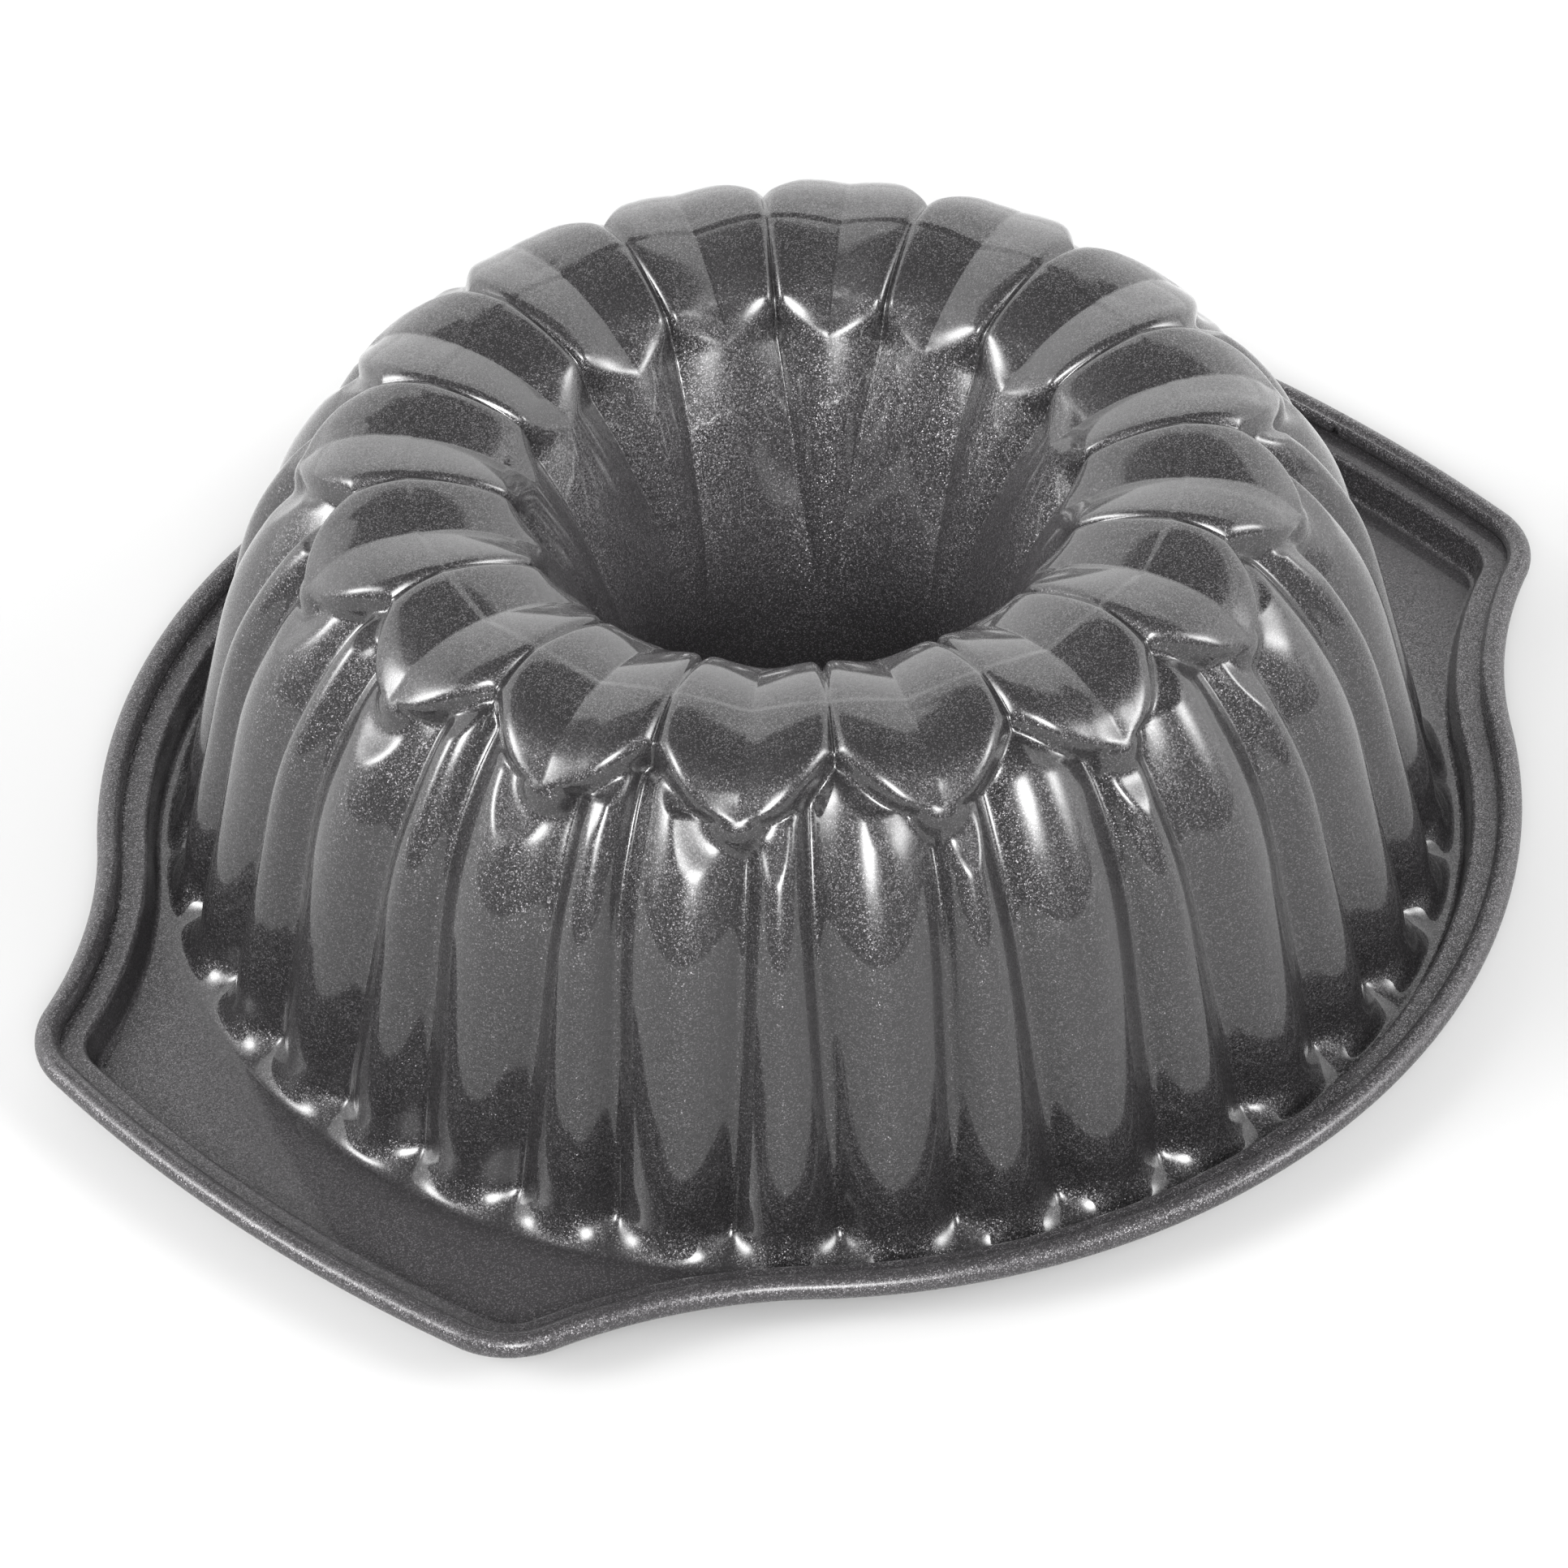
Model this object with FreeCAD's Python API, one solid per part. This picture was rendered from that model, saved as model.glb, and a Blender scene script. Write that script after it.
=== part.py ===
"""Fluted ring-cake pan with two handle tabs, standing on its rim with the crown up.

Millimetres. The origin is the centre of the footprint, on the underside of the flat flange,
with the tabs along X and the crown towards +Z.

The pan is one pressed sheet. It is built zone by zone, each zone a closed solid that meets its
neighbours face to face: centre tube, petalled crown, fluted wall, flat flange, raised rim step
and the rim rolled round a stiffening wire.
"""
import FreeCAD, Part
import math
import os

Vector = FreeCAD.Vector

# ---- sheet -------------------------------------------------------------------------------
SHEET = 0.8                 # thickness of the coated sheet

# ---- outline of the rim, made of tangent arcs ----------------------------------------------
BODY_RADIUS = 128.1         # round part of the outer edge
TAB_REACH = 145.34          # from the centre to the middle of a tab's outer edge
TAB_RADIUS = 311.0          # the tab's nearly straight outer edge
CORNER_RADIUS = 16.7        # rounded tab corner
CORNER_Y = 46.14            # centre of the tab corner, off the X axis
FLANK_RADIUS = 94.5         # hollow curve between the round part and a tab corner

# ---- rim section, measured inward from the outer edge and up from the flange's top ----------
LEDGE_RISE = 6.15           # height of the ledge over the flange
LEDGE_INSET = 8.0           # inner end of the flat ledge
STEP_ANGLE = math.radians(77)
STEP_FOOT_RADIUS = 1.2
STEP_TOP_RADIUS = 1.0
BEAD_RADIUS = 2.2           # outside of the rolled rim
CURL_TURN = math.radians(300)
WIRE_RADIUS = 1.35
NOTCH_WIDTH = 1.6           # slots in the free edge of the curl, in the middle of each tab
NOTCH_OFFSET = 8.0
NOTCH_DEPTH = 2.0

# ---- section through the crests of the pressed form: radius, height over the flange's top ----
TUBE_STATIONS = [(26.4, 2.0), (27.0, 12.0), (28.4, 24.0), (31.0, 37.0), (34.9, 50.0), (39.2, 62.0)]
CROWN_STATIONS = [(45.4, 73.9), (49.0, 78.9), (57.0, 83.6), (67.0, 85.7), (76.0, 84.8), (82.2, 82.0), (86.2, 78.2)]
WALL_STATIONS = [(92.0, 70.4), (99.3, 58.0), (105.4, 38.0), (110.4, 18.0), (112.3, 9.6)]
FOOT_STATIONS = [(113.0, 6.0), (114.2, 2.6), (116.6, 0.0)]
CROWN_TOP = (67.0, 85.7)

# ---- relief, placed by the distance along the section from the top of the crown --------------
PETALS = 16
PETAL_PHASE = 12.93         # degrees from +X to the crease of the first petal
PETAL_IN = -25.5            # point at the inner end of a petal
PETAL_OUT = 23.0            # rounded point at the outer end of a petal
PETAL_TIP_WIDTH = 3.1       # half-width at the outer end, per root of the distance from the point
PETAL_INNER_SLOPE = 1.8     # half-width at the inner end, per mm from the point
PETAL_GAP = 2.0             # from a crest to the valley between two petals
PETAL_CREASE = 2.0          # depth of the crease under the crests
CREASE_FADE_START = 4.0     # the crease gets shallower from here
CREASE_FADE = 14.0          # over this distance
CREASE_TIP_SHARE = 0.25     # down to this share of its depth
CREASE_POWER = 1.2
PETAL_FLANK = 3.2           # width of the fall outside the crests
PETAL_VALLEY = 2.2          # its depth over the crown
PETAL_VALLEY_TIP = 2.8      # its depth from VALLEY_REACH outward
VALLEY_REACH = 12.0
VALLEY_POWER = 1.8
THROAT_DEPTH = 3.2          # valleys at the mouth of the tube
THROAT_END = -74.0          # where the narrow throat flutes run out to a point
THROAT_BLEND = 8.0          # the flutes pass into the petals over this distance
LOBES = 36
WALL_TOP = 36.0             # lobes sink under the petals above here
WALL_SINK = 0.004           # sink per square mm of distance above it
GROOVE_DEPTH = 2.6          # groove between the petals and the tops of the lobes
GROOVE_WIDTH = 5.5
LOBE_DEPTH_TOP = 3.4
LOBE_DEPTH_FOOT = 4.6
FOOT_FADE = 7.0             # the lobes fade into the flange over this distance
NARROW_LOBE_FOOT = 4.9      # half-width of the narrow lobes in degrees
NARROW_LOBE_TOP = 3.4
VALLEY_ROUNDING = 0.25      # share of a lobe's depth that is rounded off at the valley floor
BLEND = 1.0                 # softness where two shapes meet

# ---- grid of the pressed zones --------------------------------------------------------------
COLUMNS = 320               # round the full turn, from the crease of the first petal
SECTORS = 4
ROW_STEP = 2.2


def lerp(a, b, t):
    t = min(max(t, 0.0), 1.0)
    return a + (b - a) * t


def smooth_max(a, b):
    """The larger of the two, rounded over BLEND where they cross."""
    return 0.5 * (a + b + math.sqrt((a - b) ** 2 + BLEND ** 2))


def smooth_min(a, b):
    return -smooth_max(-a, -b)


def smoothstep(t):
    t = min(max(t, 0.0), 1.0)
    return t * t * (3 - 2 * t)


# ---- section curve --------------------------------------------------------------------------
def section_curve():
    stations = TUBE_STATIONS + CROWN_STATIONS + WALL_STATIONS + FOOT_STATIONS
    points = [Vector(radius, 0, height + SHEET) for radius, height in stations]
    curve = Part.BSplineCurve()
    curve.interpolate(Points=points, InitialTangent=Vector(0.12, 0, 1), FinalTangent=Vector(1, 0, 0))
    return curve


def distance_to(curve, station):
    radius, height = station
    return curve.length(curve.FirstParameter, curve.parameter(Vector(radius, 0, height + SHEET)))


def row_distances(start, end):
    count = max(4, round((end - start) / ROW_STEP))
    return [start + (end - start) * i / count for i in range(count + 1)]


# ---- relief ---------------------------------------------------------------------------------
def petal_crest(s, half):
    """Distance from a petal's crease to its crests, which close at both ends of the petal."""
    outer = PETAL_TIP_WIDTH * math.sqrt(max(PETAL_OUT - s, 0.0))
    inner = PETAL_INNER_SLOPE * (s - PETAL_IN)
    return max(smooth_min(half - PETAL_GAP, min(outer, inner)), 0.0)


def petal_relief(angle, s, radius):
    """Height of the petals, and the distance past the foot of their flanks."""
    pitch = 360.0 / PETALS
    offset = (angle - PETAL_PHASE + pitch / 2) % pitch - pitch / 2
    across = abs(math.radians(offset)) * radius
    half = math.radians(pitch / 2) * radius
    crest = petal_crest(s, half)
    flank = half - crest
    if s > 0:
        flank = min(flank, PETAL_FLANK)
    away = math.hypot(max(across - crest, 0.0), max(s - PETAL_OUT, 0.0))
    if across < crest:
        fade = lerp(1.0, CREASE_TIP_SHARE, (s - CREASE_FADE_START) / CREASE_FADE)
        depth = PETAL_CREASE * min(1.0, crest / PETAL_FLANK) * fade
        height = -depth * (1 - across / crest) ** CREASE_POWER
    else:
        valley = lerp(PETAL_VALLEY, PETAL_VALLEY_TIP, s / VALLEY_REACH)
        height = -valley * (away / flank) ** VALLEY_POWER
    return height, away - flank


def throat_relief(angle, s):
    """Flutes of the tube, every second one narrowing to a point on the way down."""
    pitch = 720.0 / PETALS
    narrow_centre = PETAL_PHASE + pitch / 2
    offset = abs((angle - narrow_centre + pitch / 2) % pitch - pitch / 2)
    down = lerp(0.0, 1.0, (PETAL_IN - s) / (PETAL_IN - THROAT_END))
    narrow = pitch / 4 * math.sqrt(1 - down)
    if offset < narrow:
        across = offset / narrow
    else:
        across = (pitch / 2 - offset) / (pitch / 2 - narrow)
    return -lerp(THROAT_DEPTH, 0.0, down) * across ** 2


def rounded_valley(across):
    """Parabola from 0 on the crest to 1 in the valley, with a rounded valley floor."""
    full = math.hypot(1.0, VALLEY_ROUNDING)
    return (full - math.hypot(1 - across ** 2, VALLEY_ROUNDING)) / (full - VALLEY_ROUNDING)


def lobe_relief(angle, s, foot, beyond_petal):
    """Lobes of the wall, alternately wide and narrow, fading out at the foot."""
    down = (s - WALL_TOP) / (foot - WALL_TOP)
    narrow = lerp(NARROW_LOBE_TOP, NARROW_LOBE_FOOT, down)
    pitch = 360.0 / LOBES
    offset = abs((angle + pitch) % (2 * pitch) - pitch)
    if offset < narrow:
        across = offset / narrow
    else:
        across = (pitch - offset) / (pitch - narrow)
    depth = lerp(LOBE_DEPTH_TOP, LOBE_DEPTH_FOOT, down) * smoothstep((foot - s) / FOOT_FADE)
    sink = WALL_SINK * max(WALL_TOP - s, 0.0) ** 2
    groove = GROOVE_DEPTH * (1 - smoothstep(beyond_petal / GROOVE_WIDTH))
    return -sink - math.cbrt(groove ** 3 + (depth * rounded_valley(across)) ** 3)


def relief(angle, s, radius, foot):
    crown, beyond_petal = petal_relief(angle, s, radius)
    if s > 0:
        return smooth_max(crown, lobe_relief(angle, s, foot, beyond_petal))
    return lerp(throat_relief(angle, s), crown, (s - PETAL_IN) / THROAT_BLEND)


# ---- pressed zones --------------------------------------------------------------------------
def skin_rows(curve, distances, top, foot, start_column, end_column):
    """Grids of points on the upper and lower skin, one row for each distance."""
    upper = []
    lower = []
    for distance in distances:
        at = curve.parameterAtDistance(distance, curve.FirstParameter)
        point = curve.value(at)
        tangent = curve.tangent(at)[0]
        normal = Vector(-tangent.z, 0, tangent.x)
        upper_row = []
        lower_row = []
        for column in range(start_column, end_column + 1):
            angle = PETAL_PHASE + 360.0 * column / COLUMNS
            turn = math.radians(angle)
            height = relief(angle, distance - top, point.x, foot - top)
            for row, lift in ((upper_row, height), (lower_row, height - SHEET)):
                radius = point.x + normal.x * lift
                row.append(Vector(radius * math.cos(turn), radius * math.sin(turn), point.z + normal.z * lift))
        upper.append(upper_row)
        lower.append(lower_row)
    return upper, lower


def knots(count, degree):
    """Knots and multiplicities of a clamped, evenly spaced curve with this many poles."""
    inner = count - degree + 1
    values = [float(i) for i in range(inner)]
    multiplicities = [degree + 1] + [1] * (inner - 2) + [degree + 1]
    return values, multiplicities


def skin_face(grid):
    rows = len(grid)
    columns = len(grid[0])
    row_degree = min(3, rows - 1)
    row_knots, row_counts = knots(rows, row_degree)
    column_knots, column_counts = knots(columns, 3)
    surface = Part.BSplineSurface()
    surface.buildFromPolesMultsKnots(
        grid, row_counts, column_counts, row_knots, column_knots, False, False, row_degree, 3)
    return surface.toShape()


def pressed_zone(curve, start, end, top, foot):
    """A closed solid of the sheet between two distances along the section."""
    distances = row_distances(start, end)
    faces = []
    for sector in range(SECTORS):
        first = COLUMNS // SECTORS * sector
        upper, lower = skin_rows(curve, distances, top, foot, first, first + COLUMNS // SECTORS)
        faces.append(skin_face(upper))
        faces.append(skin_face(lower))
        faces.append(skin_face([upper[0], lower[0]]))
        faces.append(skin_face([upper[-1], lower[-1]]))
    return closed_solid(faces)


def closed_solid(faces):
    shell = Part.makeShell(faces)
    shell.sewShape()
    solid = Part.makeSolid(shell)
    if solid.Volume < 0:
        solid.reverse()
    return solid


# ---- rim ------------------------------------------------------------------------------------
def quarter_arcs():
    """The outline in the +X +Y quarter: centre, radius, side of the rim, first and last angle.

    Side is 1 where the rim lies on the inside of the arc and -1 on the hollow flank.
    """
    tab_x = TAB_REACH - TAB_RADIUS
    corner_x = tab_x + math.sqrt((TAB_RADIUS - CORNER_RADIUS) ** 2 - CORNER_Y ** 2)
    corner_distance = math.hypot(corner_x, CORNER_Y)
    to_body = BODY_RADIUS + FLANK_RADIUS
    to_corner = CORNER_RADIUS + FLANK_RADIUS
    bend = math.acos((to_body ** 2 + corner_distance ** 2 - to_corner ** 2) / (2 * to_body * corner_distance))
    flank_direction = math.atan2(CORNER_Y, corner_x) + bend
    flank_x = to_body * math.cos(flank_direction)
    flank_y = to_body * math.sin(flank_direction)
    tab_end = math.atan2(CORNER_Y, corner_x - tab_x)
    corner_end = math.atan2(flank_y - CORNER_Y, flank_x - corner_x)
    half_turn = math.pi
    return [
        (Vector(tab_x, 0, 0), TAB_RADIUS, 1, 0.0, tab_end),
        (Vector(corner_x, CORNER_Y, 0), CORNER_RADIUS, 1, tab_end, corner_end),
        (Vector(flank_x, flank_y, 0), FLANK_RADIUS, -1, corner_end + half_turn, flank_direction + half_turn),
        (Vector(0, 0, 0), BODY_RADIUS, 1, flank_direction, half_turn / 2),
    ]


def outline_face(inset):
    """Flat face inside the outline moved inward by the inset."""
    edges = []
    for centre, radius, side, first, last in quarter_arcs():
        reach = radius - side * inset
        points = []
        for angle in (first, (first + last) / 2, last):
            points.append(centre + Vector(math.cos(angle), math.sin(angle), 0) * reach)
        edges.append(Part.Arc(*points).toShape())
    quarter = Part.Compound(edges)
    half = Part.Compound([quarter, quarter.mirror(Vector(0, 0, 0), Vector(0, 1, 0))])
    whole = Part.Compound([half, half.mirror(Vector(0, 0, 0), Vector(1, 0, 0))])
    return Part.Face(Part.Wire(Part.__sortEdges__(whole.Edges)))


def sweep_round(section):
    """Carry a section round the outline.

    The section is a function that takes a mapping from (inset, height) to a point and gives a wire.
    """
    pieces = []
    for centre, radius, side, first, last in quarter_arcs():
        direction = Vector(math.cos(first), math.sin(first), 0)

        def place(inset, height, centre=centre, radius=radius, side=side, direction=direction):
            return centre + direction * (radius - side * inset) + Vector(0, 0, height)

        face = Part.Face(section(place))
        pieces.append(face.revolve(centre, Vector(0, 0, 1), math.degrees(last - first)))
    quarter = pieces[0].multiFuse(pieces[1:])
    half = quarter.fuse(quarter.mirror(Vector(0, 0, 0), Vector(0, 1, 0)))
    whole = half.fuse(half.mirror(Vector(0, 0, 0), Vector(1, 0, 0)))
    return whole.Solids[0]


def arc_edge(place, centre, radius, first, last):
    """Arc in the section, angles counted from straight up towards the inside of the pan."""
    points = []
    for angle in (first, (first + last) / 2, last):
        points.append(place(centre[0] + radius * math.sin(angle), centre[1] + radius * math.cos(angle)))
    return Part.Arc(*points).toShape()


def step_geometry():
    """Centres of the two bends of the step, and the inset where the flat flange ends."""
    slope = LEDGE_RISE - (STEP_FOOT_RADIUS + STEP_TOP_RADIUS) * (1 - math.cos(STEP_ANGLE))
    run = (STEP_FOOT_RADIUS + STEP_TOP_RADIUS) * math.sin(STEP_ANGLE) + slope / math.tan(STEP_ANGLE)
    top_centre = (LEDGE_INSET, SHEET + LEDGE_RISE - STEP_TOP_RADIUS)
    foot_centre = (LEDGE_INSET + run, SHEET + STEP_FOOT_RADIUS)
    return top_centre, foot_centre


def step_wire(place):
    top_centre, foot_centre = step_geometry()
    flat_angle = math.pi
    edges = []
    ends = []
    for skin in (0.0, SHEET):
        ledge = arc_edge(place, top_centre, STEP_TOP_RADIUS - skin, 0.0, STEP_ANGLE)
        foot = arc_edge(place, foot_centre, STEP_FOOT_RADIUS + skin, flat_angle + STEP_ANGLE, flat_angle)
        height = SHEET + LEDGE_RISE - skin
        outer = place(BEAD_RADIUS, height)
        edges += [
            Part.makeLine(outer, ledge.Vertexes[0].Point),
            ledge,
            Part.makeLine(ledge.Vertexes[-1].Point, foot.Vertexes[0].Point),
            foot,
        ]
        ends.append((outer, foot.Vertexes[-1].Point))
    edges.append(Part.makeLine(ends[0][0], ends[1][0]))
    edges.append(Part.makeLine(ends[0][1], ends[1][1]))
    return Part.Wire(Part.__sortEdges__(edges))


def bead_centre():
    return (BEAD_RADIUS, LEDGE_RISE + BEAD_RADIUS)


def curl_wire(place):
    """Open curl that starts under the bead and runs out, over the top and back down inside."""
    start = -math.pi
    end = start + CURL_TURN
    outer = arc_edge(place, bead_centre(), BEAD_RADIUS, start, end)
    inner = arc_edge(place, bead_centre(), BEAD_RADIUS - SHEET, start, end)
    edges = [
        outer,
        Part.makeLine(outer.Vertexes[-1].Point, inner.Vertexes[-1].Point),
        inner,
        Part.makeLine(inner.Vertexes[0].Point, outer.Vertexes[0].Point),
    ]
    return Part.Wire(Part.__sortEdges__(edges))


def wire_section(place):
    edges = []
    for start in (0.0, math.pi):
        edges.append(arc_edge(place, bead_centre(), WIRE_RADIUS, start, start + math.pi))
    return Part.Wire(edges)


def rolled_rim():
    rim = sweep_round(curl_wire)
    free_edge_x = TAB_REACH - 2 * BEAD_RADIUS
    bottom = bead_centre()[1] - BEAD_RADIUS / 2
    for side_x in (-1, 1):
        for side_y in (-1, 1):
            notch = Part.makeBox(
                NOTCH_DEPTH, NOTCH_WIDTH, NOTCH_DEPTH,
                Vector(-NOTCH_DEPTH / 2, -NOTCH_WIDTH / 2, 0))
            notch.translate(Vector(side_x * free_edge_x, side_y * NOTCH_OFFSET, bottom))
            rim = rim.cut(notch)
    return rim.Solids[0]


def flange(foot_radius):
    inset = step_geometry()[1][0]
    plate = outline_face(inset).extrude(Vector(0, 0, SHEET))
    hole = Part.makeCylinder(foot_radius, SHEET)
    return plate.cut(hole).Solids[0]


# ---- export ---------------------------------------------------------------------------------
def build():
    curve = section_curve()
    top = distance_to(curve, CROWN_TOP)
    foot = curve.length()
    mouth = distance_to(curve, CROWN_STATIONS[0])
    shoulder = distance_to(curve, WALL_STATIONS[0])
    return {
        "centre_tube": pressed_zone(curve, 0.0, mouth, top, foot),
        "petal_crown": pressed_zone(curve, mouth, shoulder, top, foot),
        "fluted_wall": pressed_zone(curve, shoulder, foot, top, foot),
        "flange": flange(FOOT_STATIONS[-1][0]),
        "rim_step": sweep_round(step_wire),
        "rolled_rim": rolled_rim(),
        "rim_wire": sweep_round(wire_section),
    }


os.makedirs("parts", exist_ok=True)
for node, shape in build().items():
    shape.exportStep(f"parts/{node}.step")
    box = shape.BoundBox
    print(node, shape.isValid(), shape.ShapeType, round(shape.Volume, 1),
          [round(v, 2) for v in (box.XMin, box.XMax, box.YMin, box.YMax, box.ZMin, box.ZMax)])
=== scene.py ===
"""Fluted ring-cake pan: high-resolution sheet, coating, floor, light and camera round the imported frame."""
import math

import bpy
import numpy as np
from mathutils import Matrix, Vector


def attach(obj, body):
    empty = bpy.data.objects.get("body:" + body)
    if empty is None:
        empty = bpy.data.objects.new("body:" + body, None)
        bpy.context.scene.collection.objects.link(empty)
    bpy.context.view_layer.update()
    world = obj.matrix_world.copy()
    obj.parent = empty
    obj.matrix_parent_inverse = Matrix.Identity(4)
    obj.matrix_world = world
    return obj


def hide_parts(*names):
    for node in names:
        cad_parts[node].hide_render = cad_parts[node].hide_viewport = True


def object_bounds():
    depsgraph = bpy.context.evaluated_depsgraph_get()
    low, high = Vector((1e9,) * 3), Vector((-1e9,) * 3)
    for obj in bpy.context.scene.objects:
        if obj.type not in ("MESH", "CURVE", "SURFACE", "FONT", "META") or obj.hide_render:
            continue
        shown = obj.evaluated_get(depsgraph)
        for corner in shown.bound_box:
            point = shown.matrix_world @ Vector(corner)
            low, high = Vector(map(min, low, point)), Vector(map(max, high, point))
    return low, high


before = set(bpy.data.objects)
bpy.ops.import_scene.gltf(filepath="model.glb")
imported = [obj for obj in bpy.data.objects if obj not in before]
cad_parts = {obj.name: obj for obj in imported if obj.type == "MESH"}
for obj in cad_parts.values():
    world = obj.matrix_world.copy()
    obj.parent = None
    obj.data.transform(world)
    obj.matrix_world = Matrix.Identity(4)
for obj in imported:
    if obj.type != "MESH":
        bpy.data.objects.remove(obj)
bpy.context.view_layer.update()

MM = 0.001

# ---- driving dimensions, in millimetres and degrees ------------------------------------------
SHEET = 0.8

BODY_RADIUS = 128.1           # outer edge of the rim round the body
TAB_REACH = 145.34            # from the centre to the middle of a tab's outer edge
TAB_RADIUS = 311.0            # a tab's nearly straight outer edge
CORNER_RADIUS = 16.7
CORNER_Y = 46.14
FLANK_RADIUS = 94.5           # hollow curve between a tab and the body

LEDGE_RISE = 6.15
LEDGE_INSET = 8.0
STEP_ANGLE = math.radians(77)
STEP_FOOT_RADIUS = 1.2
STEP_TOP_RADIUS = 1.0
BEAD_RADIUS = 2.2
CURL_TURN = math.radians(300)
NOTCH_WIDTH = 1.6
NOTCH_OFFSET = 8.0
NOTCH_TURN = math.radians(55)

# Section of the pressed form as (radius, height), from the open end of the tube to the flange.
TUBE_STATIONS = [(26.4, 2.0), (27.0, 12.0), (28.4, 24.0), (31.0, 37.0), (34.9, 50.0), (39.2, 62.0)]
CROWN_TOP = (67.0, 85.7)
CROWN_STATIONS = [
    (45.4, 73.9), (49.0, 78.9), (57.0, 83.6), CROWN_TOP, (76.0, 84.8), (82.2, 82.0), (86.2, 78.2),
]
WALL_STATIONS = [(92.0, 70.4), (99.3, 58.0), (105.4, 38.0), (110.4, 18.0), (112.3, 9.6)]
FOOT_STATIONS = [(113.0, 6.0), (114.2, 2.6), (116.6, 0.0)]
TUBE_END_LEAN = (0.12, 1.0)   # direction of the section at the tube's open end
FOOT_LEAN = (1.0, 0.0)        # and where it meets the flange

# Places along the section are counted from the top of the crown, positive towards the flange.
PETALS = 16
PETAL_PHASE = 12.93
PETAL_IN = -25.5              # inner and outer ends of a petal
PETAL_OUT = 23.0
PETAL_TIP_WIDTH = 2.8         # half-width 1 mm from the outer end
PETAL_TIP_POWER = 0.54
PETAL_INNER_SLOPE = 1.8
PETAL_GAP = 1.8
PETAL_FLANK = 4.8             # width of the rounded edge beyond a petal's crest
PETAL_CREASE = 2.0            # depth of the fold along a petal's middle
CREASE_POWER = 1.5
CREASE_FADE_START = 4.0
CREASE_FADE = 14.0
CREASE_TIP_SHARE = 0.25
PETAL_VALLEY = 0.5            # fall beyond the crest: on the crown, at the tips, in the throat
PETAL_VALLEY_TIP = 2.8
PETAL_VALLEY_THROAT = 2.2
VALLEY_REACH = 14.0
VALLEY_POWER = 3.0
THROAT_DEPTH = 3.2            # flutes in the tube
THROAT_END = -74.0
THROAT_BLEND = 8.0
LOBES = 36
WALL_TOP = 36.0
WALL_SINK = 0.004             # how the wall lies back above WALL_TOP, per mm squared
GROOVE_DEPTH = 1.7            # groove round the petals
GROOVE_WIDTH = 9.0
VALLEY_ROUNDING = 0.25
LOBE_DEPTH_TOP = 4.0
LOBE_DEPTH_FOOT = 4.6
FOOT_FADE = 7.0
NARROW_LOBE_FOOT = 4.9        # half-angle of the narrow lobes
NARROW_LOBE_TOP = 3.4
BLEND = 2.2

# ---- mesh fineness ---------------------------------------------------------------------------
COLUMNS = 1152
ROW_STEP = 0.6
OUTLINE_STEP = 0.6
FLANGE_ROWS = 10
ARC_ROWS = 12
LINE_ROWS = 8
CURL_ROWS = 48
CURL_INNER_ROWS = 24
CURL_LIP_ROWS = 7

# ---- coating ---------------------------------------------------------------------------------
FLAKES_PER_METRE = 5200.0
FLAKE_TILT = 0.5
FLAKE_COLOURS = [
    (0.0, (0.0180, 0.0171, 0.0180, 1)),
    (0.75, (0.0295, 0.0281, 0.0296, 1)),
    (1.0, (0.095, 0.091, 0.095, 1)),
]
# Painted light: extra lightness of the base in the tube and on the plate, which lifts their shaded tone.
TUBE_PAINTED_LIGHT = 1.6
TUBE_FROM, TUBE_TO = 48.0, 26.0
PLATE_PAINTED_LIGHT = 1.0
PLATE_FROM, PLATE_TO = 114.0, 120.0
PLATE_GLOSS_LOSS = -0.65

# ---- studio, with azimuths counted from the camera towards its right, in degrees ---------------
CAMERA_AZIMUTH = math.radians(-46.409)
CAMERA_ELEVATION = math.radians(41.450)
CAMERA_ROLL = math.radians(-2.143)
CAMERA_OFFSET = (-4.555, 6.176, 1292.0)
LENS = 163.98
# Each lamp as azimuth, elevation, sharpness, strength.
SOFT_LIGHTS = [(0, 36, 55, 40.0), (-80, 30, 45, 24.0), (75, 30, 45, 18.0)]
BACKDROP_LEVEL = 1.7
BACKDROP_TOP = (0.76, 0.72)   # sine of the elevation over which the backdrop fades out
BACKDROP_SIDE = (-0.15, 0.10)
ROOM_LEVEL = 0.20
FLOOR_HALF_SIZE = 6.0
FLOOR_GAP = 0.2


def lerp(a, b, t):
    return a + (b - a) * np.clip(t, 0.0, 1.0)


def smooth_max(a, b):
    return 0.5 * (a + b + np.sqrt((a - b) ** 2 + BLEND ** 2))


def smooth_min(a, b):
    return -smooth_max(-a, -b)


# ---- section curve ---------------------------------------------------------------------------
def spline_tangents(points, spans, first, last):
    """Tangents that make a cubic through the points smooth."""
    count = len(points)
    matrix = np.eye(count)
    right = np.zeros_like(points)
    right[0] = first
    right[-1] = last
    slopes = np.diff(points, axis=0) / spans[:, None]
    for i in range(1, count - 1):
        matrix[i, i - 1] = spans[i]
        matrix[i, i] = 2 * (spans[i - 1] + spans[i])
        matrix[i, i + 1] = spans[i - 1]
        right[i] = 3 * (spans[i] * slopes[i - 1] + spans[i - 1] * slopes[i])
    return np.linalg.solve(matrix, right)


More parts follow.
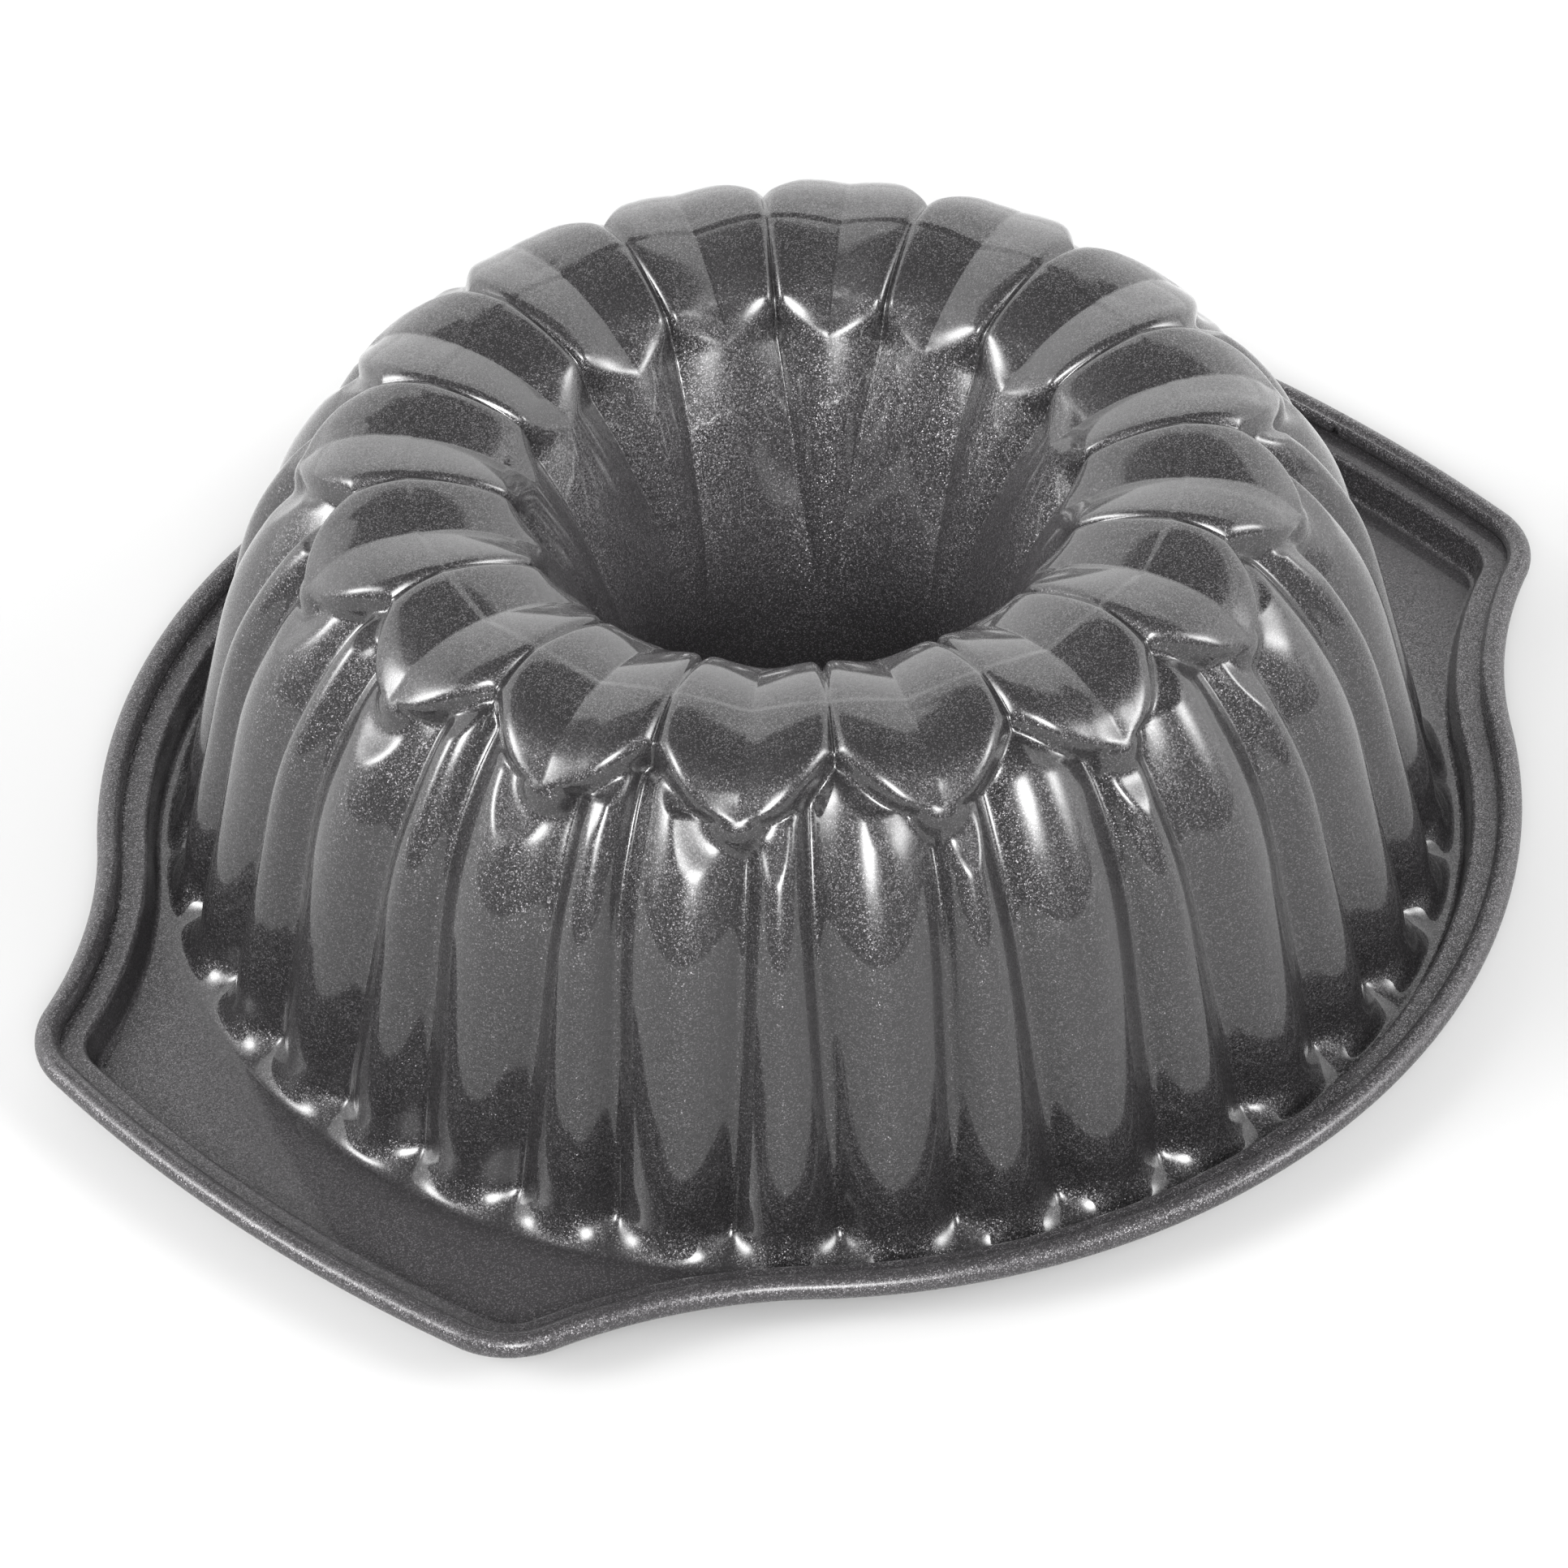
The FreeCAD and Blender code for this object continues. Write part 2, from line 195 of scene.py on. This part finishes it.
class Section:
    """Smooth curve through the stations, read by the distance along it."""

    def __init__(self, stations, first, last, samples=60):
        points = np.array(stations, float)
        spans = np.linalg.norm(np.diff(points, axis=0), axis=1)
        tangents = spline_tangents(points, spans, first, last)
        steps = np.linspace(0, 1, samples, endpoint=False)[:, None]
        pieces = []
        for i, span in enumerate(spans):
            a, b = points[i], points[i + 1]
            ta, tb = tangents[i] * span, tangents[i + 1] * span
            t2, t3 = steps ** 2, steps ** 3
            pieces.append((2 * t3 - 3 * t2 + 1) * a + (t3 - 2 * t2 + steps) * ta
                          + (3 * t2 - 2 * t3) * b + (t3 - t2) * tb)
        pieces.append(points[-1:])
        self.samples = samples
        self.line = np.concatenate(pieces)
        lengths = np.linalg.norm(np.diff(self.line, axis=0), axis=1)
        self.distance = np.concatenate([[0.0], np.cumsum(lengths)])
        self.tangent = np.gradient(self.line, self.distance, axis=0)

    def station_distance(self, index):
        return self.distance[index * self.samples]

    def at(self, distances):
        point = np.stack([np.interp(distances, self.distance, self.line[:, k]) for k in (0, 1)], axis=-1)
        tangent = np.stack([np.interp(distances, self.distance, self.tangent[:, k]) for k in (0, 1)], axis=-1)
        tangent /= np.linalg.norm(tangent, axis=-1, keepdims=True)
        normal = np.stack([-tangent[:, 1], tangent[:, 0]], axis=-1)
        return point, normal


# ---- relief ----------------------------------------------------------------------------------
def petal_crest(s, half):
    """Distance from a petal's crease to its crest, which closes at both ends of the petal."""
    outer = PETAL_TIP_WIDTH * np.maximum(PETAL_OUT - s, 0.0) ** PETAL_TIP_POWER
    inner = PETAL_INNER_SLOPE * (s - PETAL_IN)
    return np.maximum(smooth_min(half - PETAL_GAP, np.minimum(outer, inner)), 0.0)


def petal_relief(angle, s, radius):
    """Height of the petals, and the distance past the foot of their flanks."""
    pitch = 360.0 / PETALS
    offset = (angle - PETAL_PHASE + pitch / 2) % pitch - pitch / 2
    across = np.abs(np.radians(offset)) * radius
    half = math.radians(pitch / 2) * radius
    crest = petal_crest(s, half)
    flank = np.where(s < 0, half - crest, np.minimum(half - crest, PETAL_FLANK))
    fade = lerp(1.0, CREASE_TIP_SHARE, (s - CREASE_FADE_START) / CREASE_FADE)
    depth = PETAL_CREASE * np.minimum(1.0, crest / PETAL_FLANK) * fade
    inside = -depth * np.clip(1 - across / np.maximum(crest, 1e-6), 0, 1) ** CREASE_POWER
    away = np.hypot(np.maximum(across - crest, 0), np.maximum(s - PETAL_OUT, 0.0))
    ends = np.where(s > 0, PETAL_VALLEY_TIP, PETAL_VALLEY_THROAT)
    reach = np.where(s > 0, s / VALLEY_REACH, s / PETAL_IN)
    valley = lerp(PETAL_VALLEY, ends, reach)
    outside = -valley * (away / flank) ** VALLEY_POWER
    return np.where(across < crest, inside, outside), away - flank


def throat_relief(angle, s):
    pitch = 720.0 / PETALS
    narrow_centre = PETAL_PHASE + pitch / 2
    offset = np.abs((angle - narrow_centre + pitch / 2) % pitch - pitch / 2)
    down = (PETAL_IN - s) / (PETAL_IN - THROAT_END)
    narrow = np.maximum(pitch / 4 * np.sqrt(1 - np.clip(down, 0, 1)), 1e-6)
    across = np.where(offset < narrow, offset / narrow, (pitch / 2 - offset) / (pitch / 2 - narrow))
    return -lerp(THROAT_DEPTH, 0.0, down) * across ** 2


def rounded_valley(across):
    """Parabola from 0 on the crest to 1 in the valley, with a rounded valley floor."""
    full = math.hypot(1.0, VALLEY_ROUNDING)
    return (full - np.hypot(1 - across ** 2, VALLEY_ROUNDING)) / (full - VALLEY_ROUNDING)


def smoothstep(t):
    t = np.clip(t, 0, 1)
    return t * t * (3 - 2 * t)


def lobe_relief(angle, s, foot, beyond_petal):
    down = (s - WALL_TOP) / (foot - WALL_TOP)
    narrow = lerp(NARROW_LOBE_TOP, NARROW_LOBE_FOOT, down)
    pitch = 360.0 / LOBES
    offset = np.abs((angle + pitch) % (2 * pitch) - pitch)
    across = np.where(offset < narrow, offset / narrow, (pitch - offset) / (pitch - narrow))
    shape = rounded_valley(across)
    depth = lerp(LOBE_DEPTH_TOP, LOBE_DEPTH_FOOT, down) * smoothstep((foot - s) / FOOT_FADE)
    sink = WALL_SINK * np.maximum(WALL_TOP - s, 0.0) ** 2
    groove = GROOVE_DEPTH * (1 - smoothstep(beyond_petal / GROOVE_WIDTH))
    return -sink - np.cbrt(groove ** 3 + (depth * shape) ** 3)


def relief(angle, s, radius, foot):
    crown, beyond_petal = petal_relief(angle, s, radius)
    outer = smooth_max(crown, lobe_relief(angle, s, foot, beyond_petal))
    throat = throat_relief(angle, s)
    inner = lerp(throat, crown, (s - PETAL_IN) / THROAT_BLEND)
    return np.where(s > 0, outer, inner)


# ---- mesh helpers ----------------------------------------------------------------------------
def grid_faces(rows, columns, start, side):
    """Quads of a grid whose columns close on themselves, facing along x around where side is 1."""
    row = np.arange(rows - 1)[:, None]
    column = np.arange(columns)[None, :]
    following = (column + 1) % columns
    a = start + row * columns + column
    b = start + row * columns + following
    c = start + (row + 1) * columns + following
    d = start + (row + 1) * columns + column
    quads = np.stack([a, d, c, b] if side > 0 else [a, b, c, d], axis=-1)
    return quads.reshape(-1, 4)


def make_piece(name, grids):
    """A mesh from closed-up grids, each with its points, its normals and its side."""
    points = []
    normals = []
    faces = []
    start = 0
    for grid, normal, side in grids:
        rows, columns = grid.shape[:2]
        points.append(grid.reshape(-1, 3))
        normals.append(normal.reshape(-1, 3))
        faces.append(grid_faces(rows, columns, start, side))
        start += rows * columns
    points = np.concatenate(points) * MM
    normals = np.concatenate(normals)
    faces = np.concatenate(faces)
    mesh = bpy.data.meshes.new(name)
    mesh.vertices.add(len(points))
    mesh.vertices.foreach_set("co", points.astype(np.float32).ravel())
    mesh.loops.add(faces.size)
    mesh.loops.foreach_set("vertex_index", faces.astype(np.int32).ravel())
    mesh.polygons.add(len(faces))
    mesh.polygons.foreach_set("loop_start", np.arange(0, faces.size, 4, dtype=np.int32))
    mesh.polygons.foreach_set("use_smooth", np.ones(len(faces), dtype=bool))
    mesh.update(calc_edges=True)
    mesh.normals_split_custom_set_from_vertices(normals.astype(np.float32))
    piece = bpy.data.objects.new(name, mesh)
    bpy.context.scene.collection.objects.link(piece)
    return piece


def grid_normals(grid):
    along = np.gradient(grid, axis=0)
    around = np.roll(grid, -1, axis=1) - np.roll(grid, 1, axis=1)
    normal = np.cross(along, around)
    return normal / np.maximum(np.linalg.norm(normal, axis=-1, keepdims=True), 1e-12)


# ---- pressed form ----------------------------------------------------------------------------
def rows_between(start, end):
    return np.linspace(start, end, max(4, round((end - start) / ROW_STEP)) + 1)


def pressed_pieces():
    stations = TUBE_STATIONS + CROWN_STATIONS + WALL_STATIONS + FOOT_STATIONS
    lifted = [(radius, height + SHEET) for radius, height in stations]
    section = Section(lifted, TUBE_END_LEAN, FOOT_LEAN)
    top = section.station_distance(stations.index(CROWN_TOP))
    foot = section.distance[-1]
    mouth = section.station_distance(stations.index(CROWN_STATIONS[0]))
    shoulder = section.station_distance(stations.index(WALL_STATIONS[0]))
    parts = [rows_between(0.0, mouth), rows_between(mouth, shoulder), rows_between(shoulder, foot)]
    distances = np.concatenate([parts[0], parts[1][1:], parts[2][1:]])
    point, normal = section.at(distances)
    angle = PETAL_PHASE + np.arange(COLUMNS) * 360.0 / COLUMNS
    turn = np.radians(angle)[None, :]
    s = (distances - top)[:, None]
    height = relief(angle[None, :], s, point[:, :1], foot - top)
    skins = []
    for lift in (height, height - SHEET):
        radius = point[:, :1] + normal[:, :1] * lift
        rise = point[:, 1:] + normal[:, 1:] * lift
        skins.append(np.stack([radius * np.cos(turn), radius * np.sin(turn), rise], axis=-1))
    upper, lower = skins
    upper_normals = grid_normals(upper)
    lower_normals = -grid_normals(lower)
    upper_normals[-1] = (0, 0, 1)
    lower_normals[-1] = (0, 0, -1)
    first = len(parts[0]) - 1
    second = first + len(parts[1]) - 1
    last = len(distances) - 1
    names = ("centre_tube", "petal_crown", "fluted_wall")
    pieces = {}
    for name, a, b in zip(names, (0, first, second), (first, second, last)):
        grids = [(upper[a:b + 1], upper_normals[a:b + 1], 1), (lower[a:b + 1], lower_normals[a:b + 1], -1)]
        if a == 0:
            lip = np.stack([lower[0], upper[0]])
            grids.append((lip, np.broadcast_to((0.0, 0.0, -1.0), lip.shape), 1))
        pieces[name] = make_piece(name + "_skin", grids)
    return pieces, point[-1, 0]


# ---- rim -------------------------------------------------------------------------------------
def quarter_outline():
    """Points of the outer edge and inward directions, from the +X axis to the +Y axis."""
    tab_x = TAB_REACH - TAB_RADIUS
    corner_x = tab_x + math.sqrt((TAB_RADIUS - CORNER_RADIUS) ** 2 - CORNER_Y ** 2)
    corner_distance = math.hypot(corner_x, CORNER_Y)
    to_body = BODY_RADIUS + FLANK_RADIUS
    to_corner = CORNER_RADIUS + FLANK_RADIUS
    bend = math.acos((to_body ** 2 + corner_distance ** 2 - to_corner ** 2) / (2 * to_body * corner_distance))
    flank_direction = math.atan2(CORNER_Y, corner_x) + bend
    flank_x = to_body * math.cos(flank_direction)
    flank_y = to_body * math.sin(flank_direction)
    tab_end = math.atan2(CORNER_Y, corner_x - tab_x)
    corner_end = math.atan2(flank_y - CORNER_Y, flank_x - corner_x)
    arcs = [
        ((tab_x, 0), TAB_RADIUS, 1, 0.0, tab_end),
        ((corner_x, CORNER_Y), CORNER_RADIUS, 1, tab_end, corner_end),
        ((flank_x, flank_y), FLANK_RADIUS, -1, corner_end + math.pi, flank_direction + math.pi),
        ((0, 0), BODY_RADIUS, 1, flank_direction, math.pi / 2),
    ]
    points = []
    inward = []
    for centre, radius, side, first, last in arcs:
        count = math.ceil(abs(last - first) * radius / OUTLINE_STEP)
        angles = np.linspace(first, last, count, endpoint=False)
        direction = np.stack([np.cos(angles), np.sin(angles)], axis=-1)
        points.append(np.array(centre) + radius * direction)
        inward.append(-side * direction)
    points.append(np.array([[0.0, BODY_RADIUS]]))
    inward.append(np.array([[0.0, -1.0]]))
    return np.concatenate(points), np.concatenate(inward)


def outline():
    """The whole edge, anticlockwise, without repeated points."""
    points, inward = quarter_outline()
    quarters = []
    for flip_x, flip_y in ((1, 1), (-1, 1), (-1, -1), (1, -1)):
        mirrored = [values * np.array([flip_x, flip_y]) for values in (points, inward)]
        if flip_x * flip_y < 0:
            mirrored = [values[::-1] for values in mirrored]
        quarters.append([values[:-1] for values in mirrored])
    return tuple(np.concatenate([quarter[k] for quarter in quarters]) for k in (0, 1))


def arc_path(centre, radius, first, last, count=ARC_ROWS):
    """Arc in the section, angles counted from straight up towards the inside of the pan."""
    angles = np.linspace(first, last, count)
    return np.stack([centre[0] + radius * np.sin(angles), centre[1] + radius * np.cos(angles)], axis=-1)


def swept(path, points, inward):
    """Grid of a section path carried round the outline. The path may differ from station to station."""
    path = np.broadcast_to(path[:, None, :] if path.ndim == 2 else path, path.shape[:1] + (len(points), 2))
    flat = points[None] + inward[None] * path[..., :1]
    return np.concatenate([flat, path[..., 1:]], axis=-1)


def swept_normals(path, inward, side):
    """Normals of a swept path, on its left side where side is 1 going inward to outward."""
    path = path[:, None, :] if path.ndim == 2 else path
    tangent = np.gradient(path, axis=0)
    tangent = tangent / np.maximum(np.linalg.norm(tangent, axis=-1, keepdims=True), 1e-12)
    tangent = np.broadcast_to(tangent, path.shape[:1] + (len(inward), 2))
    across = tangent[..., 1:] * side
    rise = -tangent[..., :1] * side
    return np.concatenate([inward[None] * across, rise], axis=-1)


def step_paths():
    """Section of the step, on the upper and on the lower skin, from the flat flange to under the bead."""
    slope = LEDGE_RISE - (STEP_FOOT_RADIUS + STEP_TOP_RADIUS) * (1 - math.cos(STEP_ANGLE))
    run = (STEP_FOOT_RADIUS + STEP_TOP_RADIUS) * math.sin(STEP_ANGLE) + slope / math.tan(STEP_ANGLE)
    top_centre = (LEDGE_INSET, SHEET + LEDGE_RISE - STEP_TOP_RADIUS)
    foot_centre = (LEDGE_INSET + run, SHEET + STEP_FOOT_RADIUS)
    paths = []
    for skin in (0.0, SHEET):
        foot = arc_path(foot_centre, STEP_FOOT_RADIUS + skin, math.pi, math.pi + STEP_ANGLE)
        top = arc_path(top_centre, STEP_TOP_RADIUS - skin, STEP_ANGLE, 0.0)
        ledge = np.linspace(top[-1], (BEAD_RADIUS, top[-1][1]), LINE_ROWS)[1:]
        slope_line = np.linspace(foot[-1], top[0], LINE_ROWS)[1:-1]
        paths.append(np.concatenate([foot, slope_line, top, ledge]))
    return paths


def flange_piece(points, inward, foot_radius):
    inset = step_paths()[0][0][0]
    edge = points + inward * inset
    direction = edge / np.linalg.norm(edge, axis=-1, keepdims=True)
    grids = []
    for height, side in ((SHEET, 1), (0.0, -1)):
        rows = []
        for share in np.linspace(0, 1, FLANGE_ROWS):
            flat = direction * foot_radius * (1 - share) + edge * share
            rows.append(np.concatenate([flat, np.full((len(flat), 1), height)], axis=-1))
        grid = np.stack(rows)
        grids.append((grid, np.broadcast_to((0.0, 0.0, float(side)), grid.shape), side))
    return make_piece("flange_skin", grids)


def step_piece(points, inward):
    upper, lower = step_paths()
    return make_piece("rim_step_skin", [
        (swept(upper, points, inward), swept_normals(upper, inward, 1), 1),
        (swept(lower, points, inward), swept_normals(lower, inward, -1), -1),
    ])


def curl_piece(points, inward):
    """Rolled rim with a rounded free edge, cut back at the slots in the middle of each tab."""
    near_slot = np.abs(np.abs(points[:, 1]) - NOTCH_OFFSET) < NOTCH_WIDTH / 2
    slot = near_slot & (np.abs(points[:, 0]) > BODY_RADIUS)
    turn = np.where(slot, CURL_TURN - NOTCH_TURN, CURL_TURN)
    centre = np.array([BEAD_RADIUS, LEDGE_RISE + BEAD_RADIUS])
    start = -math.pi
    middle = BEAD_RADIUS - SHEET / 2
    rows = []
    for share in np.linspace(0, 1, CURL_ROWS):
        angle = start + turn * share
        rows.append(centre + BEAD_RADIUS * np.stack([np.sin(angle), np.cos(angle)], axis=-1))
    end = start + turn
    for share in np.linspace(0, 1, CURL_LIP_ROWS)[1:-1]:
        lip = end + math.pi / 2 - math.pi * share
        at_end = centre + middle * np.stack([np.sin(end), np.cos(end)], axis=-1)
        tangent = np.stack([np.cos(end), -np.sin(end)], axis=-1)
        radial = np.stack([np.sin(end), np.cos(end)], axis=-1)
        reach = math.sin(math.pi * share) * SHEET / 2
        height = math.cos(math.pi * share) * SHEET / 2
        rows.append(at_end + tangent * reach + radial * height)
    for share in np.linspace(1, 0, CURL_INNER_ROWS):
        angle = start + turn * share
        rows.append(centre + (BEAD_RADIUS - SHEET) * np.stack([np.sin(angle), np.cos(angle)], axis=-1))
    path = np.stack(rows)
    grid = swept(path, points, inward)
    return make_piece("rolled_rim_skin", [(grid, swept_normals(path, inward, -1), -1)])


# ---- node helpers ----------------------------------------------------------------------------
def math_node(tree, operation, first, second):
    node = tree.nodes.new("ShaderNodeMath")
    node.operation = operation
    for socket, value in zip(node.inputs, (first, second)):
        if isinstance(value, (int, float)):
            socket.default_value = value
        else:
            tree.links.new(value, socket)
    return node.outputs[0]


def vector_node(tree, operation, first, second=None):
    """A vector operation; its second operand is a fixed vector or another node's output."""
    node = tree.nodes.new("ShaderNodeVectorMath")
    node.operation = operation
    tree.links.new(first, node.inputs[0])
    if isinstance(second, (tuple, Vector)):
        node.inputs[1].default_value = second
    elif second is not None:
        tree.links.new(second, node.inputs[1])
    return node


def scaled(tree, vector, factor):
    node = vector_node(tree, "SCALE", vector)
    if isinstance(factor, float):
        node.inputs["Scale"].default_value = factor
    else:
        tree.links.new(factor, node.inputs["Scale"])
    return node.outputs[0]


def ramp_between(tree, value, start, end):
    node = tree.nodes.new("ShaderNodeMapRange")
    node.inputs["From Min"].default_value = start
    node.inputs["From Max"].default_value = end
    tree.links.new(value, node.inputs["Value"])
    return node.outputs[0]


# ---- materials -------------------------------------------------------------------------------
def new_material(name):
    material = bpy.data.materials.new(name)
    material.use_nodes = True
    return material, material.node_tree.nodes["Principled BSDF"]


def flake_normal(tree, flakes):
    """Surface normal leaned a little, and differently in each flake."""
    centred = vector_node(tree, "SUBTRACT", flakes.outputs["Color"], (0.5, 0.5, 0.5)).outputs[0]
    surface = tree.nodes.new("ShaderNodeNewGeometry").outputs["Normal"]
    leaned = vector_node(tree, "ADD", surface, scaled(tree, centred, FLAKE_TILT)).outputs[0]
    return vector_node(tree, "NORMALIZE", leaned).outputs[0]


def flake_colour(tree, flakes):
    split = tree.nodes.new("ShaderNodeSeparateColor")
    tree.links.new(flakes.outputs["Color"], split.inputs[0])
    ramp = tree.nodes.new("ShaderNodeValToRGB")
    tree.links.new(split.outputs[0], ramp.inputs[0])
    stops = ramp.color_ramp.elements
    for stop, (position, colour) in zip([stops[0], stops.new(0.5), stops[-1]], FLAKE_COLOURS):
        stop.position = position
        stop.color = colour
    return ramp.outputs[0]


def coating_material():
    """Dark non-stick coat with fine metallic flakes under a glossy top layer."""
    material, shader = new_material("flake_coating")
    tree = material.node_tree
    place = tree.nodes.new("ShaderNodeTexCoord").outputs["Object"]
    flakes = tree.nodes.new("ShaderNodeTexVoronoi")
    flakes.inputs["Scale"].default_value = FLAKES_PER_METRE
    tree.links.new(place, flakes.inputs["Vector"])
    tree.links.new(flake_normal(tree, flakes), shader.inputs["Normal"])

    flat = vector_node(tree, "MULTIPLY", place, (1, 1, 0)).outputs[0]
    distance = vector_node(tree, "LENGTH", flat).outputs["Value"]
    in_tube = ramp_between(tree, distance, TUBE_FROM * MM, TUBE_TO * MM)
    on_plate = ramp_between(tree, distance, PLATE_FROM * MM, PLATE_TO * MM)
    # Painted light: the same coating's base is made paler in the tube and on the plate to lift their shaded
    # tone.
    tube_painted_light = math_node(tree, "MULTIPLY", in_tube, TUBE_PAINTED_LIGHT)
    plate_painted_light = math_node(tree, "MULTIPLY", on_plate, PLATE_PAINTED_LIGHT)
    painted_light_gain = math_node(tree, "ADD", math_node(tree, "ADD", tube_painted_light, plate_painted_light), 1.0)
    tree.links.new(scaled(tree, flake_colour(tree, flakes), painted_light_gain), shader.inputs["Base Color"])
    gloss = math_node(tree, "ADD", math_node(tree, "MULTIPLY", on_plate, PLATE_GLOSS_LOSS), 1.0)
    tree.links.new(gloss, shader.inputs["Coat Weight"])
    shader.inputs["Metallic"].default_value = 0.5
    shader.inputs["Roughness"].default_value = 0.35
    shader.inputs["Coat Roughness"].default_value = 0.07
    shader.inputs["Coat IOR"].default_value = 1.5
    return material


def wire_material():
    material, shader = new_material("drawn_wire")
    shader.inputs["Base Color"].default_value = (0.5, 0.5, 0.5, 1)
    shader.inputs["Metallic"].default_value = 1.0
    shader.inputs["Roughness"].default_value = 0.35
    return material


def floor_material():
    material, shader = new_material("pale_floor")
    shader.inputs["Base Color"].default_value = (0.50, 0.50, 0.50, 1)
    shader.inputs["Roughness"].default_value = 0.9
    return material


# ---- studio ----------------------------------------------------------------------------------
def add_floor():
    half = FLOOR_HALF_SIZE
    mesh = bpy.data.meshes.new("floor")
    corners = [(-half, -half, 0), (half, -half, 0), (half, half, 0), (-half, half, 0)]
    mesh.from_pydata(corners, [], [(0, 1, 2, 3)])
    floor = bpy.data.objects.new("floor", mesh)
    floor.location.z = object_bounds()[0][2] - FLOOR_GAP * MM
    bpy.context.scene.collection.objects.link(floor)
    floor.data.materials.append(floor_material())


def camera_axes():
    a, e, r = CAMERA_AZIMUTH, CAMERA_ELEVATION, CAMERA_ROLL
    back = Vector((math.sin(a) * math.cos(e), -math.cos(a) * math.cos(e), math.sin(e)))
    right = Vector((math.cos(a), math.sin(a), 0))
    up = back.cross(right)
    rolled_right = right * math.cos(r) + up * math.sin(r)
    rolled_up = up * math.cos(r) - right * math.sin(r)
    return rolled_right, rolled_up, back


def add_camera():
    right, up, back = camera_axes()
    offset = [value * MM for value in CAMERA_OFFSET]
    position = right * offset[0] + up * offset[1] + back * offset[2] + Vector((0, 0, SHEET * MM))
    matrix = Matrix((right, up, back)).transposed().to_4x4()
    matrix.translation = position
    data = bpy.data.cameras.new("camera")
    data.lens = LENS
    data.sensor_width = 36.0
    data.clip_start = 0.05
    camera = bpy.data.objects.new("camera", data)
    camera.matrix_world = matrix
    bpy.context.scene.collection.objects.link(camera)
    bpy.context.scene.camera = camera


def from_camera(azimuth, elevation):
    """Direction at an azimuth counted from the camera to its right."""
    a = CAMERA_AZIMUTH + math.radians(azimuth)
    e = math.radians(elevation)
    return Vector((math.sin(a) * math.cos(e), -math.cos(a) * math.cos(e), math.sin(e)))


def add_world():
    """White backdrop behind the object up to its top edge, a grey room, and soft lamps in front."""
    world = bpy.data.worlds.new("studio")
    bpy.context.scene.world = world
    world.use_nodes = True
    tree = world.node_tree
    place = tree.nodes.new("ShaderNodeTexCoord").outputs["Generated"]
    rise = vector_node(tree, "DOT_PRODUCT", place, (0, 0, 1)).outputs["Value"]
    depth = vector_node(tree, "DOT_PRODUCT", place, from_camera(180, 0)).outputs["Value"]
    below_top = ramp_between(tree, rise, *BACKDROP_TOP)
    behind = ramp_between(tree, depth, *BACKDROP_SIDE)
    backdrop = math_node(tree, "MULTIPLY", below_top, behind)
    level = math_node(tree, "MULTIPLY", backdrop, BACKDROP_LEVEL - ROOM_LEVEL)
    level = math_node(tree, "ADD", level, ROOM_LEVEL)
    for azimuth, elevation, sharpness, strength in SOFT_LIGHTS:
        cosine = vector_node(tree, "DOT_PRODUCT", place, from_camera(azimuth, elevation)).outputs["Value"]
        spot = math_node(tree, "POWER", math_node(tree, "MAXIMUM", cosine, 0.0), sharpness)
        level = math_node(tree, "ADD", level, math_node(tree, "MULTIPLY", spot, strength))
    background = tree.nodes["Background"]
    tree.links.new(level, background.inputs["Strength"])
    background.inputs["Color"].default_value = (1, 1, 1, 1)


# ---- assembly --------------------------------------------------------------------------------
coating = coating_material()
pieces, foot_radius = pressed_pieces()
edge_points, edge_inward = outline()
pieces["flange"] = flange_piece(edge_points, edge_inward, foot_radius)
pieces["rim_step"] = step_piece(edge_points, edge_inward)
pieces["rolled_rim"] = curl_piece(edge_points, edge_inward)
for node, piece in pieces.items():
    piece.data.materials.append(coating)
    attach(piece, "root")
    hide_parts(node)
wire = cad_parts["rim_wire"]
wire.data.materials.clear()
wire.data.materials.append(wire_material())

add_floor()
add_world()
add_camera()
bpy.context.scene.view_settings.view_transform = "Standard"
